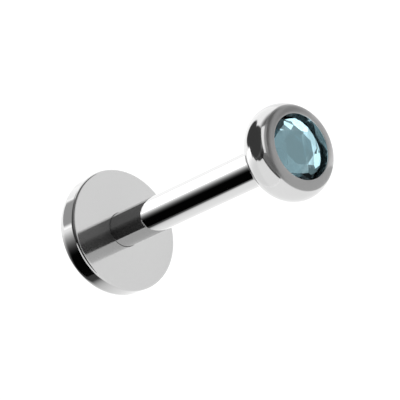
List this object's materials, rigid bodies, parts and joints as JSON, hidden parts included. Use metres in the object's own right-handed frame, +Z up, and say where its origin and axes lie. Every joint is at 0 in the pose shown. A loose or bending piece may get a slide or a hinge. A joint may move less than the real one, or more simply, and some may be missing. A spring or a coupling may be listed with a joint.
{
  "type": "labret stud",
  "caption": "Straight labret stud for a lip or ear piercing: flat round base disc, plain polished post, round bezel head holding a pale blue faceted crystal.",
  "frame": {"origin": "centre of the footprint, on the surface that the stud lies on", "axes": "+Z up; the stud lies along X with its head towards +X, and its axis dips towards the head because the head is smaller than the disc"},
  "size_m": [0.0104, 0.0042, 0.0043],
  "materials": {
    "disc_steel": "mirror polished surgical steel",
    "post_steel": "mirror polished surgical steel",
    "head_steel": "polished surgical steel with a satin rim",
    "crystal": "cut and polished lead-free crystal, foiled behind"
  },
  "bodies": {
    "root": {"base_disc": "disc_steel", "post": "post_steel", "bezel_head": "head_steel", "stone": "crystal"}
  },
  "joints": []
}
